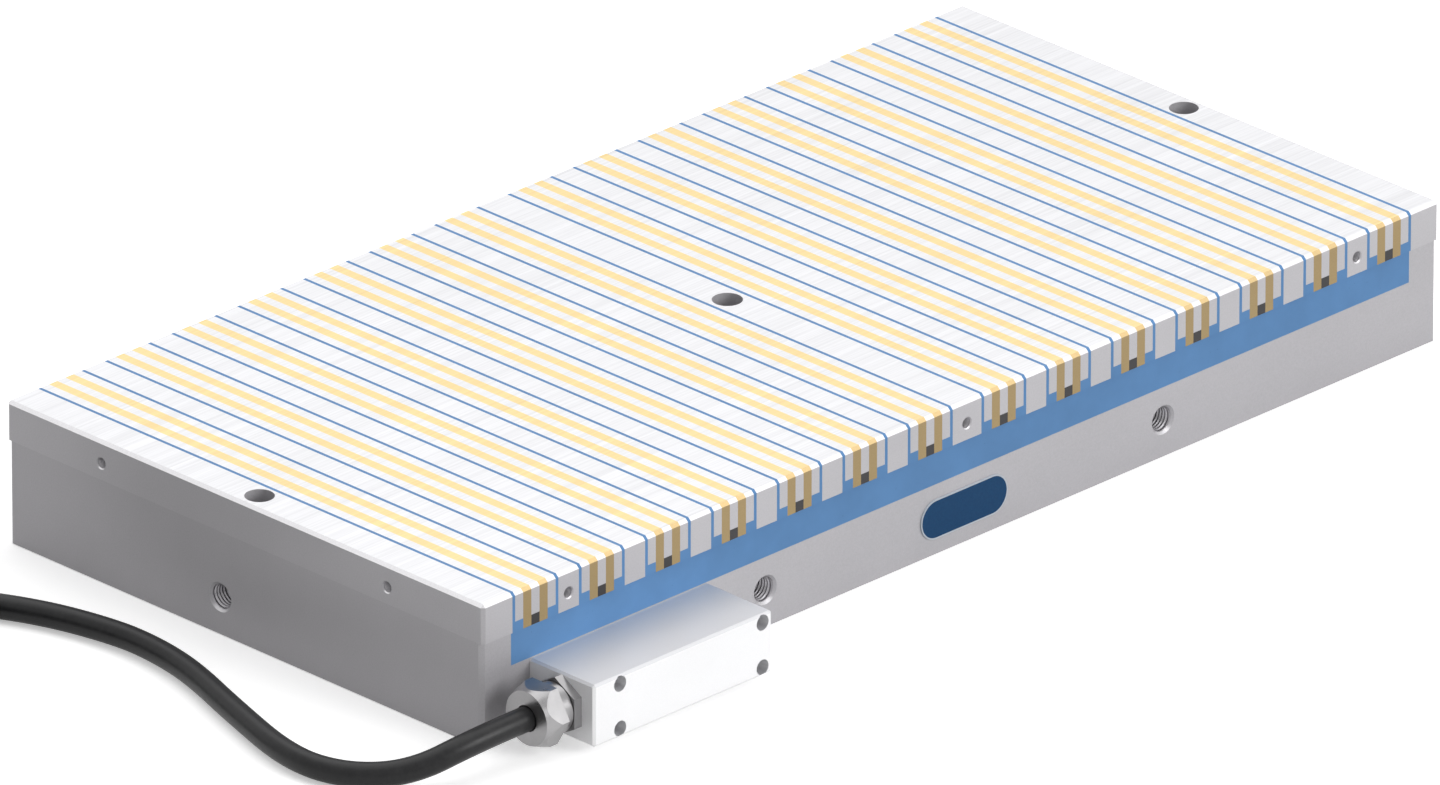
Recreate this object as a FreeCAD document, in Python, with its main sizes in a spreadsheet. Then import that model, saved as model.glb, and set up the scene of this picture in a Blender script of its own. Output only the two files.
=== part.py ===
import FreeCAD, Part
import Sketcher
import math
import os
from types import SimpleNamespace
from FreeCAD import Placement, Rotation, Vector

# Electro-permanent magnetic chuck, 600 x 300 x 69 mm. Millimetres, +Z up.
# Origin: centre of the base's underside. X runs along the chuck, Y across it; the connection housing
# is on the -Y side and the cable leaves it towards -X.
#
# The pole plate is a row of bars that all run across the chuck (along Y). From the left end: end bar,
# then packs and poles in turn with a thin resin gap beside each pole, then the other end bar.

SIZES = {
    # Pole plate: sizes along the row are each bar's length in X.
    "plate_width": 300,
    "plate_thickness": 19,
    "plate_chamfer": 1.5,
    "end_bar": 18,
    "wide_pole": 12.6,
    "centre_pole": 18,
    "resin_gap": 1.7,
    "outer_lamination": 4.9,
    "core_lamination": 5,
    "brass_strip": 5,
    "pack_foot": 5,
    # Base body.
    "base_height": 50,
    "base_inset": 1,
    "base_chamfer": 2,
    "band_gap": 0.4,
    "pocket_floor": 16,
    "pocket_end_room": 9.7,
    "lead_channel": 5.5,
    "boss_width": 26,
    # Reversible magnets and their coils.
    "magnet_reach": 103,
    "magnet_boss_gap": 1,
    "magnet_side_gap": 0.3,
    "coil_clearance": 0.5,
    "coil_thickness": 6,
    "coil_rise": 2,
    "coil_headroom": 4,
    # Mounting holes for M8 cap screws whose heads sink to a seat in the base.
    "mount_bore": 9,
    "end_head_bore": 13.5,
    "centre_head_bore": 14,
    "head_seat": 25,
    "end_hole_shift": 1,
    # M12 threads for eye bolts.
    "lift_thread": 12,
    "lift_depth": 20,
    "lift_mouth": 1.1,
    "lift_height": 18,
    "lift_spacing": 250,
    "end_lift_offset": 15,
    # M5 threads for stop plates.
    "stop_thread": 5,
    "stop_depth": 12,
    "stop_mouth": 0.5,
    "stop_rise": 8,
    "end_stop_spacing": 180,
    # M6 cap screws that hold the pole plate from below.
    "pole_screw": 6,
    "pole_screw_hole": 6.6,
    "pole_screw_head": 10,
    "pole_screw_head_height": 6,
    "pole_screw_head_hole": 11,
    "pole_screw_seat": 8,
    "pole_screw_grip": 12,
    "pole_screw_wall": 7,
    "pole_screw_key": 5,
    "pole_screw_key_depth": 3,
    # Connection housing.
    "housing_length": 110,
    "housing_depth": 40,
    "housing_height": 30,
    "housing_rise": 3.6,
    "housing_offset": 29.5,
    "housing_chamfer": 1.1,
    "cavity_left_wall": 24.5,
    "cavity_right_wall": 14.5,
    "cavity_wall": 6,
    "cavity_front_wall": 10,
    "gasket_land": 1.5,
    "gasket_width": 2,
    "gasket_depth": 1.5,
    "housing_screw_left": 16,
    "housing_screw_right": 6.1,
    "housing_screw_edge": 4.2,
    "housing_screw": 4,
    "housing_screw_hole": 4.5,
    "housing_screw_head": 7,
    "housing_screw_head_height": 4,
    "housing_screw_head_hole": 7.4,
    "housing_screw_head_depth": 28,
    "housing_screw_grip": 9,
    "housing_screw_key": 3,
    "housing_screw_key_depth": 2,
    # Terminals and wires.
    "duct_bore": 9,
    "duct_height": 22,
    "terminal_length": 50,
    "terminal_depth": 14,
    "terminal_height": 14,
    "terminal_screw": 4,
    "terminal_screw_pitch": 8,
    "lead_wire": 2.4,
    "lead_wire_pitch": 3.6,
    "lead_strap_width": 2.4,
    "lead_strap_height": 2,
    "lead_strap_gap": 0.5,
    "conductor": 2.4,
    "conductor_circle": 2.6,
    # Cable gland, along its own axis from the housing outwards.
    "gland_thread": 20,
    "gland_stub": 8,
    "gland_stub_room": 0.5,
    "gland_bore": 12,
    "gland_seat_bore": 16.4,
    "gland_seat_depth": 8,
    "gland_neck": 9,
    "gland_passage": 10,
    "flange_across_flats": 24.5,
    "flange_thickness": 4.5,
    "o_ring_circle": 22,
    "o_ring_section": 1.2,
    "nut_across_flats": 27,
    "nut_hex_length": 11.3,
    "nut_face": 25.6,
    "nut_nose_slope": 0.4,
    "nut_skirt": 24,
    "nut_skirt_length": 5.7,
    "nut_wall": 3.8,
    "nut_bore": 12.4,
    "thrust_thickness": 2,
    "thrust_outer": 19,
    "running_fit": 0.08,
    "thread_fit": 0.05,
    "seat_gap": 0.3,
    # Cable.
    "cable": 11.5,
    "cable_tail_end": 1.5,
    # Coil of stored cable and its ties.
    "bundle_radius": 62,
    "bundle_row_pitch": 12,
    "bundle_layer_pitch": 11.8,
    "tie_width": 12,
    "tie_thickness": 1,
    "tie_slack": 0.1,
    # Round cable connector, along its own axis from the cable's end to its mouth.
    "plug_clamp_length": 16,
    "plug_clamp_diameter": 20,
    "plug_clamp_flats": 18,
    "plug_body_diameter": 21,
    "plug_body_length": 48,
    "plug_tail_diameter": 16,
    "plug_mouth_bore": 18,
    "plug_mouth_depth": 12.5,
    "plug_insert_length": 14,
    "plug_pin": 1.6,
    "plug_pin_length": 6,
    "plug_pin_circle": 10.5,
    "ring_outer": 27,
    "ring_length": 20,
    "ring_overhang": 2,
    "ring_edge": 1,
    "ring_lip": 2,
    "retainer_height": 1,
    "retainer_length": 3,
    "plug_edge": 1.5,
    "cable_in_plug": 13,
    # Badge.
    "badge_length": 54.4,
    "badge_height": 19.2,
    "badge_thickness": 0.6,
    "badge_centre_height": 17.2,
    "badge_shift": -1,
}

PACKS_PER_HALF = 7
PACKS = 2 * PACKS_PER_HALF
POLES = PACKS - 1
CENTRE_POLE = PACKS_PER_HALF - 1
CONDUCTORS = 5
TERMINAL_SCREWS = 5
PLUG_PINS = 6
TIE_HEADINGS = (50, 170, 290)

# The cable's route from the clamping nut to the coil, chosen point by point: out of the gland, down to
# the floor, in a shallow S past the end of the chuck and on to the coil.
CABLE_ROUTE = [
    (-292.3, -169, 18.6),
    (-323, -169, 18.6),
    (-351, -158, 8.6),
    (-369.5, -136.5, 5.75),
    (-375, -106, 5.75),
    (-358, -52, 5.75),
    (-344.5, -14, 5.75),
    (-339.5, 14, 5.75),
    (-339.5, 40, 5.75),
    (-349, 80, 5.75),
    (-370.2, 119.5, 5.75),
    (-391, 157.5, 6.85),
]
COIL_CENTRE = (-456, 122)

# The cable's short run from the coil's last turn, down to the floor and into the connector.
CABLE_END_ROUTE = [
    (-456, 196, 18.65),
    (-480, 196, 18.3),
    (-504, 196, 13.5),
    (-528, 196, 13.5),
]

doc = FreeCAD.newDocument("MagneticChuck")
sheet = doc.addObject("Spreadsheet::Sheet", "Sizes")
nodes = {}


class Length:
    """A size in millimetres together with the spreadsheet formula that it comes from."""

    def __init__(self, value, formula):
        self.value = value
        self.formula = formula

    def join(self, other, sign, value):
        return Length(value, f"({self.formula} {sign} {as_length(other).formula})")

    def __add__(self, other):
        return self.join(other, "+", self.value + as_length(other).value)

    def __sub__(self, other):
        return self.join(other, "-", self.value - as_length(other).value)

    def __mul__(self, other):
        return self.join(other, "*", self.value * as_length(other).value)

    def __truediv__(self, other):
        return self.join(other, "/", self.value / as_length(other).value)

    def __radd__(self, other):
        return as_length(other) + self

    def __rsub__(self, other):
        return as_length(other) - self

    def __rmul__(self, other):
        return as_length(other) * self

    def __neg__(self):
        return Length(-self.value, f"(-{self.formula})")


def as_length(number):
    """The number as a Length, unless it already is one."""
    return number if isinstance(number, Length) else Length(float(number), f"{number:g}")


def fill_sheet():
    """Write every driving size to the spreadsheet and return them as named Lengths."""
    sizes = SimpleNamespace()
    for row, (alias, number) in enumerate(SIZES.items(), start=1):
        sheet.set(f"A{row}", alias)
        sheet.set(f"B{row}", str(number))
        sheet.setAlias(f"B{row}", alias)
        setattr(sizes, alias, Length(float(number), f"Sizes.{alias}"))
    doc.recompute()
    return sizes


def bind(thing, **properties):
    """Tie properties to lengths. A double underscore in a name stands for a dot."""
    for name, length in properties.items():
        thing.setExpression(name.replace("__", "."), as_length(length).formula)


def place(thing, x=0, y=0, z=0):
    """Put the thing at a point, keeping its turn."""
    bind(thing, Placement__Base__x=x, Placement__Base__y=y, Placement__Base__z=z)
    return thing


def block(name, x, y, z):
    """A Part::Box between the two ends given for each axis."""
    box = doc.addObject("Part::Box", name)
    bind(box, Length=x[1] - x[0], Width=y[1] - y[0], Height=z[1] - z[0])
    return place(box, x[0], y[0], z[0])


# Turns that bring a primitive's own Z axis onto the named direction.
TOWARDS = {
    "+Z": Rotation(),
    "-Z": Rotation(Vector(1, 0, 0), 180),
    "+X": Rotation(Vector(0, 1, 0), 90),
    "-X": Rotation(Vector(0, 1, 0), -90),
    "+Y": Rotation(Vector(1, 0, 0), -90),
    "-Y": Rotation(Vector(1, 0, 0), 90),
}


def rod(name, diameter, length, x, y, z, towards="+Z"):
    """A Part::Cylinder that starts at a point and runs towards the named direction."""
    cylinder = doc.addObject("Part::Cylinder", name)
    cylinder.Placement = Placement(Vector(), TOWARDS[towards])
    bind(cylinder, Radius=diameter / 2, Height=length)
    return place(cylinder, x, y, z)


def hexagon(name, across_flats, length, x, y, z, towards="+Z", turn=0):
    """A hexagonal Part::Prism that starts at a point; turn is about its own axis, in degrees."""
    prism = doc.addObject("Part::Prism", name)
    prism.Polygon = 6
    prism.Placement = Placement(Vector(), TOWARDS[towards] * Rotation(Vector(0, 0, 1), turn))
    bind(prism, Circumradius=across_flats / math.sqrt(3), Height=length)
    return place(prism, x, y, z)


def boolean(kind, name, base, tool):
    """A Part::Cut or Part::Common of two objects."""
    result = doc.addObject(f"Part::{kind}", name)
    result.Base = base
    result.Tool = tool
    return result


def fuse(name, shapes):
    """One Part::MultiFuse of all the shapes."""
    result = doc.addObject("Part::MultiFuse", name)
    result.Shapes = shapes
    return result


def group(name, shapes):
    """A Part::Compound that keeps the shapes as separate solids."""
    result = doc.addObject("Part::Compound", name)
    result.Links = shapes
    return result


def copies(name, original, spots):
    """Links to one original, each at its own point, gathered in a compound."""
    links = []
    for number, (x, y, z) in enumerate(spots, start=1):
        link = doc.addObject("App::Link", f"{name}Copy{number:02d}")
        link.LinkedObject = original
        link.LinkTransform = False
        link.LinkPlacement = Placement(Vector(), original.Placement.Rotation)
        bind(link, LinkPlacement__Base__x=x, LinkPlacement__Base__y=y, LinkPlacement__Base__z=z)
        links.append(link)
    return group(name, links)


def node(name, thing):
    """Name a finished sub-part."""
    thing.Label = name
    nodes[name] = thing
    return thing


def new_body(name):
    return doc.addObject("PartDesign::Body", name)


def new_sketch(body, role, name, offset=0):
    """A sketch on one of the body's own origin planes, moved along the plane's normal."""
    plane = next(f for f in body.Origin.OriginFeatures if f.Role == role)
    sketch = body.newObject("Sketcher::SketchObject", name)
    sketch.AttachmentSupport = [(plane, "")]
    sketch.MapMode = "FlatFace"
    bind(sketch, AttachmentOffset__Base__z=offset)
    return sketch


def fix_point(sketch, geometry, vertex, point):
    """Hold a vertex at its distances from the sketch's origin."""
    for kind, length, axis in zip(("DistanceX", "DistanceY"), point, (-2, -1)):
        length = as_length(length)
        if length.value == 0:
            sketch.addConstraint(Sketcher.Constraint("PointOnObject", geometry, vertex, axis))
            continue
        rule = Sketcher.Constraint(kind, -1, 1, geometry, vertex, length.value)
        number = sketch.addConstraint(rule)
        sketch.setExpression(f"Constraints[{number}]", length.formula)


def draw_polygon(sketch, points):
    """A closed polygon whose corners are all tied to the sizes."""
    corners = [Vector(as_length(x).value, as_length(y).value) for x, y in points]
    first = sketch.GeometryCount
    for start, end in zip(corners, corners[1:] + corners[:1]):
        sketch.addGeometry(Part.LineSegment(start, end))
    for number, point in enumerate(points):
        following = first + (number + 1) % len(points)
        sketch.addConstraint(Sketcher.Constraint("Coincident", first + number, 2, following, 1))
        fix_point(sketch, first + number, 1, point)


def draw_rectangle(sketch, x, y):
    draw_polygon(sketch, [(x[0], y[0]), (x[1], y[0]), (x[1], y[1]), (x[0], y[1])])


def draw_circle(sketch, x, y, diameter):
    """A circle whose centre and radius are tied to the sizes."""
    centre = Vector(as_length(x).value, as_length(y).value)
    circle = sketch.addGeometry(Part.Circle(centre, Vector(0, 0, 1), diameter.value / 2))
    fix_point(sketch, circle, 3, (x, y))
    rule = sketch.addConstraint(Sketcher.Constraint("Radius", circle, diameter.value / 2))
    sketch.setExpression(f"Constraints[{rule}]", (diameter / 2).formula)


def pad(body, sketch, name, length):
    feature = body.newObject("PartDesign::Pad", name)
    feature.Profile = sketch
    bind(feature, Length=length)
    return feature


def pocket(body, sketch, name, length, with_normal=False):
    """Cut the sketch's outline to a depth, against its plane's normal unless told otherwise."""
    doc.recompute()
    before = body.Shape.Volume
    feature = body.newObject("PartDesign::Pocket", name)
    feature.Profile = sketch
    feature.Reversed = with_normal
    bind(feature, Length=length)
    doc.recompute()
    if body.Shape.Volume >= before:
        raise RuntimeError(f"{name} cuts nothing")
    return feature


def chamfer(body, name, size, chosen):
    """Chamfer the edges of the body that the test picks."""
    doc.recompute()
    tip = body.Tip
    picked = [f"Edge{n}" for n, edge in enumerate(tip.Shape.Edges, start=1) if chosen(edge)]
    if not picked:
        raise RuntimeError(f"{name} finds no edge")
    feature = body.newObject("PartDesign::Chamfer", name)
    feature.Base = (tip, picked)
    bind(feature, Size=size)
    return feature


def turned(name, profile):
    """A PartDesign::Body revolved about its own Z axis from a closed list of (radius, height)."""
    body = new_body(name)
    sketch = new_sketch(body, "XZ_Plane", f"{name}Profile")
    draw_polygon(sketch, profile)
    feature = body.newObject("PartDesign::Revolution", f"{name}Turn")
    feature.Profile = sketch
    feature.ReferenceAxis = (sketch, ["V_Axis"])
    feature.Angle = 360
    return body


s = fill_sheet()

# Places along the row of bars.
pack_length = 2 * s.outer_lamination + 2 * s.brass_strip + s.core_lamination
pitch = s.wide_pole + 2 * s.resin_gap + pack_length
half_length = (
    s.end_bar
    + PACKS * s.resin_gap
    + PACKS_PER_HALF * pack_length
    + CENTRE_POLE * s.wide_pole
    + s.centre_pole / 2
)
half_width = s.plate_width / 2
base_half_width = half_width - s.base_inset
plate_top = s.base_height + s.plate_thickness


def row_place(gaps, packs, poles):
    """X of the place in the row that comes after so many gaps, packs and poles."""
    centre = 1 if poles > CENTRE_POLE else 0
    return (
        s.end_bar
        - half_length
        + gaps * s.resin_gap
        + packs * pack_length
        + (poles - centre) * s.wide_pole
        + centre * s.centre_pole
    )


def pole_length(pole):
    return s.centre_pole if pole == CENTRE_POLE else s.wide_pole


def pole_start(pole):
    return row_place(2 * pole + 2, pole + 1, pole)


def pole_middle(pole):
    return pole_start(pole) + pole_length(pole) / 2


def pack_start(pack):
    return row_place(2 * pack + 1, pack, pack)


# Pole plate. Every bar is a slice of one blank that is ground and chamfered as a whole.


def make_plate_blank():
    body = new_body("PlateBlank")
    outline = new_sketch(body, "XY_Plane", "PlateOutline", s.base_height)
    draw_rectangle(outline, (-half_length, half_length), (-half_width, half_width))
    pad(body, outline, "PlatePad", s.plate_thickness)

    def outer_edge(edge):
        middle = edge.CenterOfMass
        upright = abs(edge.Vertexes[0].Z - edge.Vertexes[1].Z) > 1
        return upright or middle.z > plate_top.value - 0.1

    chamfer(body, "PlateChamfer", s.plate_chamfer, outer_edge)
    return body


def bar_block(name, start, length, bottom=0, height=None):
    """A block across the plate's whole width, before the blank's chamfers are given to it."""
    low = s.base_height + bottom
    high = low + height if height else plate_top
    return block(name, (start, start + length), (-half_width, half_width), (low, high))


def plate_piece(name, blocks):
    """Cut one sub-part's bars out of the blank."""
    rough = blocks[0] if len(blocks) == 1 else group(f"{name}Bars", blocks)
    return boolean("Common", name, rough, plate_blank)


def threaded_hole(name, diameter, depth, mouth, x, y, z, into):
    """A blind drill with a countersunk mouth."""
    drill = rod(f"{name}Drill", diameter, depth, x, y, z, into)
    sink = doc.addObject("Part::Cone", f"{name}Sink")
    sink.Placement = Placement(Vector(), TOWARDS[into])
    bind(sink, Radius1=diameter / 2 + mouth, Radius2=diameter / 2, Height=mouth)
    place(sink, x, y, z)
    return [drill, sink]


def stop_holes(name, x, y, into):
    height = s.base_height + s.stop_rise
    return threaded_hole(name, s.stop_thread, s.stop_depth, s.stop_mouth, x, y, height, into)


def screw_hole(name, x, y):
    """The threaded hole in a bar's underside that a pole screw goes into."""
    depth = s.pole_screw_grip + s.seat_gap
    return rod(name, s.pole_screw, depth, x, y, s.base_height)


screw_line = (
    s.magnet_reach + s.coil_clearance + s.coil_thickness + s.lead_channel + s.pole_screw_wall
)


def pole_screw_holes(name, x):
    return [screw_hole(f"{name}Tap{n}", x, y) for n, y in enumerate((-screw_line, screw_line))]


end_hole_x = half_length - s.end_bar / 2 - s.end_hole_shift
end_screw_x = half_length - s.end_bar / 2


def make_end_bar(side, name):
    """An end bar with its mounting hole, two stop threads and the threads for its screws."""
    label = name.title().replace("_", "")
    start = -half_length if side < 0 else half_length - s.end_bar
    bar = plate_piece(f"{label}Blank", [bar_block(f"{label}Block", start, s.end_bar)])
    hole_x = side * end_hole_x
    tools = [rod(f"{label}Bore", s.end_head_bore, s.plate_thickness, hole_x, 0, s.base_height)]
    into = "+X" if side < 0 else "-X"
    for number, y in enumerate((-s.end_stop_spacing / 2, s.end_stop_spacing / 2)):
        tools += stop_holes(f"{label}Stop{number}", side * half_length, y, into)
    tools += pole_screw_holes(label, side * end_screw_x)
    return node(name, boolean("Cut", label, bar, fuse(f"{label}Holes", tools)))


def make_pole(pole, name):
    """A pole with its screw threads; the first, middle and last also have stop threads."""
    label = name.title().replace("_", "")
    slab = bar_block(f"{label}Block", pole_start(pole), pole_length(pole))
    bar = plate_piece(f"{label}Blank", [slab])
    tools = pole_screw_holes(label, pole_middle(pole))
    if pole in (0, CENTRE_POLE, POLES - 1):
        tools += stop_holes(f"{label}NearStop", pole_middle(pole), -half_width, "+Y")
        tools += stop_holes(f"{label}FarStop", pole_middle(pole), half_width, "-Y")
    if pole == CENTRE_POLE:
        thickness = s.plate_thickness
        tools.append(rod(f"{label}Bore", s.centre_head_bore, thickness, 0, 0, s.base_height))
    return node(name, boolean("Cut", label, bar, fuse(f"{label}Holes", tools)))


def make_pack(pack):
    """One pack's three steel laminations: two outer ones and the core between the brass strips."""
    number = f"{pack + 1:02d}"
    start = pack_start(pack)
    core = start + s.outer_lamination + s.brass_strip
    last = start + pack_length - s.outer_lamination
    bars = [
        bar_block(f"Lamination{number}A", start, s.outer_lamination, s.pack_foot),
        bar_block(f"Lamination{number}B", core, s.core_lamination, s.pack_foot),
        bar_block(f"Lamination{number}C", last, s.outer_lamination, s.pack_foot),
    ]
    node(f"pole_pack_{number}", plate_piece(f"PolePack{number}", bars))


def make_brass_strips():
    """Two full-height strips in every pack, one each side of the core lamination."""
    bars = []
    for pack in range(PACKS):
        first = pack_start(pack) + s.outer_lamination
        second = first + s.brass_strip + s.core_lamination
        bars.append(bar_block(f"Brass{pack:02d}A", first, s.brass_strip))
        bars.append(bar_block(f"Brass{pack:02d}B", second, s.brass_strip))
    node("brass_strips", plate_piece("BrassStrips", bars))


def make_magnet_bars():
    """A square ferrite bar under every core lamination, between the brass strips."""
    bars = []
    for pack in range(PACKS):
        start = pack_start(pack) + s.outer_lamination + s.brass_strip
        name = f"MagnetBar{pack:02d}"
        bars.append(bar_block(name, start, s.core_lamination, 0, s.pack_foot))
    node("magnet_bars", group("MagnetBars", bars))


def make_plate_resin():
    """Cast resin beside every pole, with a foot that reaches under the next outer lamination."""
    bars = []
    for pack in range(PACKS):
        foot_length = s.resin_gap + s.outer_lamination
        before = row_place(2 * pack, pack, pack)
        after = pack_start(pack) + pack_length
        last_foot = after - s.outer_lamination
        for side, fin_start, foot_start in (("A", before, before), ("B", after, last_foot)):
            fin = bar_block(f"Fin{pack:02d}{side}", fin_start, s.resin_gap)
            foot = bar_block(f"Foot{pack:02d}{side}", foot_start, foot_length, 0, s.pack_foot)
            bars.append(fuse(f"Cast{pack:02d}{side}", [fin, foot]))
    node("plate_resin", plate_piece("PlateResin", bars))


plate_blank = make_plate_blank()
make_end_bar(-1, "end_bar_left")
make_end_bar(1, "end_bar_right")
for pole in range(POLES):
    if pole == CENTRE_POLE:
        make_pole(pole, "centre_pole")
    else:
        make_pole(pole, f"wide_pole_{pole + 1 - (pole > CENTRE_POLE):02d}")
for pack in range(PACKS):
    make_pack(pack)
make_brass_strips()
make_magnet_bars()
make_plate_resin()

# Magnets and coils under the poles.

magnet_start = s.boss_width / 2 + s.magnet_boss_gap
magnet_half = [pole_length(pole) / 2 - s.magnet_side_gap for pole in range(POLES)]
coil_inner_reach = s.magnet_reach + s.coil_clearance
coil_outer_reach = coil_inner_reach + s.coil_thickness
coil_bottom = s.pocket_floor + s.coil_rise
coil_height = s.base_height - s.coil_headroom - coil_bottom


def magnet_blocks(prefix):
    """Two reversible magnets under every pole, one each side of the middle."""
    blocks = []
    for pole in range(POLES):
        middle = pole_middle(pole)
        across = (middle - magnet_half[pole], middle + magnet_half[pole])
        near = (-s.magnet_reach, -magnet_start)
        far = (magnet_start, s.magnet_reach)
        for side, along in (("Near", near), ("Far", far)):
            name = f"{prefix}{pole:02d}{side}"
            blocks.append(block(name, across, along, (s.pocket_floor, s.base_height)))
    return blocks


def coil_reach_x(pole):
    """How far a coil's inside and outside lie from the pole's middle, along the chuck."""
    inner = pole_length(pole) / 2 + s.coil_clearance
    return inner, inner + s.coil_thickness


def make_coil(pole):
    """One winding round both magnets of a pole, with its outer corners cut."""
    body = new_body(f"Coil{pole:02d}")
    outline = new_sketch(body, "XY_Plane", f"CoilOutline{pole:02d}", coil_bottom)
    inner, outer = coil_reach_x(pole)
    corner = s.coil_thickness / 2
    straight_x = outer - corner
    straight_y = coil_outer_reach - corner
    draw_polygon(
        outline,
        [
            (-outer, -straight_y),
            (-straight_x, -coil_outer_reach),
            (straight_x, -coil_outer_reach),
            (outer, -straight_y),
            (outer, straight_y),
            (straight_x, coil_outer_reach),
            (-straight_x, coil_outer_reach),
            (-outer, straight_y),
        ],
    )
    draw_rectangle(outline, (-inner, inner), (-coil_inner_reach, coil_inner_reach))
    pad(body, outline, f"CoilPad{pole:02d}", coil_height)
    return place(body, x=pole_middle(pole))


magnets = node("reversible_magnets", group("ReversibleMagnets", magnet_blocks("Magnet")))
coils = node("magnet_coils", group("MagnetCoils", [make_coil(pole) for pole in range(POLES)]))

# Base body.

coil_inner, coil_outer = coil_reach_x(0)
pocket_half_length = -pole_middle(0) + coil_outer + s.pocket_end_room
pocket_half_width = coil_outer_reach + s.lead_channel
band_bottom = s.housing_rise + s.housing_height + s.band_gap
band_height = s.base_height - band_bottom
trough_half_length = half_length - s.end_bar
duct_x = pole_middle(0) + pitch / 2

housing_x = s.housing_offset - half_length
housing_back = -base_half_width
housing_front = housing_back - s.housing_depth
housing_middle_z = s.housing_rise + s.housing_height / 2
housing_screw_x = (
    housing_x + s.housing_screw_left,
    housing_x + s.housing_length - s.housing_screw_right,
)
housing_screw_z = (
    s.housing_rise + s.housing_screw_edge,
    s.housing_rise + s.housing_height - s.housing_screw_edge,
)
housing_screw_spots = [(x, z) for x in housing_screw_x for z in housing_screw_z]

pole_screw_x = [-end_screw_x] + [pole_middle(pole) for pole in range(POLES)] + [end_screw_x]
pole_screw_spots = [(x, y) for x in pole_screw_x for y in (-screw_line, screw_line)]


def draw_boss(sketch):
    """The outline of the boss that stands in the pocket under the centre pole."""
    half = s.boss_width / 2
    draw_rectangle(sketch, (-s.centre_pole / 2, s.centre_pole / 2), (-half, half))


def make_base():
    """Steel body: a trough open at both long sides, a magnet pocket below it, and all its holes."""
    body = new_body("BaseBody")
    outline = new_sketch(body, "XY_Plane", "BaseOutline")
    straight_x = half_length - s.base_chamfer
    straight_y = base_half_width - s.base_chamfer
    draw_polygon(
        outline,
        [
            (-half_length, -straight_y),
            (-straight_x, -base_half_width),
            (straight_x, -base_half_width),
            (half_length, -straight_y),
            (half_length, straight_y),
            (straight_x, base_half_width),
            (-straight_x, base_half_width),
            (-half_length, straight_y),
        ],
    )
    pad(body, outline, "BasePad", s.base_height)

    trough = new_sketch(body, "XY_Plane", "TroughOutline", s.base_height)
    draw_rectangle(trough, (-trough_half_length, trough_half_length), (-half_width, half_width))
    draw_boss(trough)
    pocket(body, trough, "Trough", band_height)

    well = new_sketch(body, "XY_Plane", "WellOutline", band_bottom)
    draw_rectangle(
        well, (-pocket_half_length, pocket_half_length), (-pocket_half_width, pocket_half_width)
    )
    draw_boss(well)
    pocket(body, well, "Well", band_bottom - s.pocket_floor)

    heads = new_sketch(body, "XY_Plane", "HeadOutlines", s.base_height)
    draw_circle(heads, -end_hole_x, 0, s.end_head_bore)
    draw_circle(heads, 0, 0, s.centre_head_bore)
    draw_circle(heads, end_hole_x, 0, s.end_head_bore)
    pocket(body, heads, "HeadBores", s.base_height - s.head_seat)

    bores = new_sketch(body, "XY_Plane", "BoreOutlines", s.head_seat)
    for x in (-end_hole_x, as_length(0), end_hole_x):
        draw_circle(bores, x, 0, s.mount_bore)
    pocket(body, bores, "MountBores", s.head_seat)

    clearances = new_sketch(body, "XY_Plane", "ScrewOutlines", s.base_height)
    seats = new_sketch(body, "XY_Plane", "SeatOutlines", s.pole_screw_seat)
    for x, y in pole_screw_spots:
        draw_circle(clearances, x, y, s.pole_screw_hole)
        draw_circle(seats, x, y, s.pole_screw_head_hole)
    pocket(body, clearances, "ScrewBores", s.base_height)
    pocket(body, seats, "ScrewSeats", s.pole_screw_seat)

    taps = new_sketch(body, "XZ_Plane", "HousingTaps", base_half_width)
    for x, z in housing_screw_spots:
        draw_circle(taps, x, z, s.housing_screw)
    pocket(body, taps, "HousingThreads", s.housing_screw_grip + s.seat_gap)

    duct = new_sketch(body, "XZ_Plane", "DuctOutline", base_half_width)
    draw_circle(duct, duct_x, s.duct_height, s.duct_bore)
    pocket(body, duct, "Duct", base_half_width - pocket_half_width)

    tools = []
    for number, x in enumerate((-s.lift_spacing / 2, s.lift_spacing / 2)):
        tools += lift_hole(f"NearLift{number}", x, -base_half_width, "+Y")
        tools += lift_hole(f"FarLift{number}", x, base_half_width, "-Y")
    tools += lift_hole("LeftLift", -half_length, s.end_lift_offset, "+X")
    tools += lift_hole("RightLift", half_length, -s.end_lift_offset, "-X")
    return node("base_body", boolean("Cut", "Base", body, fuse("LiftHoles", tools)))


def lift_hole(name, x, y, into):
    return threaded_hole(
        name, s.lift_thread, s.lift_depth, s.lift_mouth, x, y, s.lift_height, into
    )


base_body = make_base()


def make_pole_screws():
    """Cap screws from below, two under every pole and end bar."""
    shank_length = s.base_height - s.pole_screw_seat + s.pole_screw_grip
    shank = rod("PoleScrewShank", s.pole_screw, shank_length, 0, 0, 0)
    head = rod("PoleScrewHead", s.pole_screw_head, s.pole_screw_head_height, 0, 0, 0, "-Z")
    key = hexagon(
        "PoleScrewKey",
        s.pole_screw_key,
        s.pole_screw_key_depth,
        0,
        0,
        -s.pole_screw_head_height,
    )
    screw = boolean("Cut", "PoleScrew", fuse("PoleScrewBlank", [shank, head]), key)
    spots = [(x, y, s.pole_screw_seat) for x, y in pole_screw_spots]
    return node("pole_screws", copies("PoleScrews", screw, spots))


pole_screws = make_pole_screws()

# Connection housing on the near long side.

cavity_x = (housing_x + s.cavity_left_wall, housing_x + s.housing_length - s.cavity_right_wall)
cavity_z = (s.housing_rise + s.cavity_wall, s.housing_rise + s.housing_height - s.cavity_wall)
gland_y = housing_back - s.housing_depth / 2
gland_z = housing_middle_z


def grown(ends, by):
    """The two ends moved apart by the same amount."""
    return ends[0] - by, ends[1] + by


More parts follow.
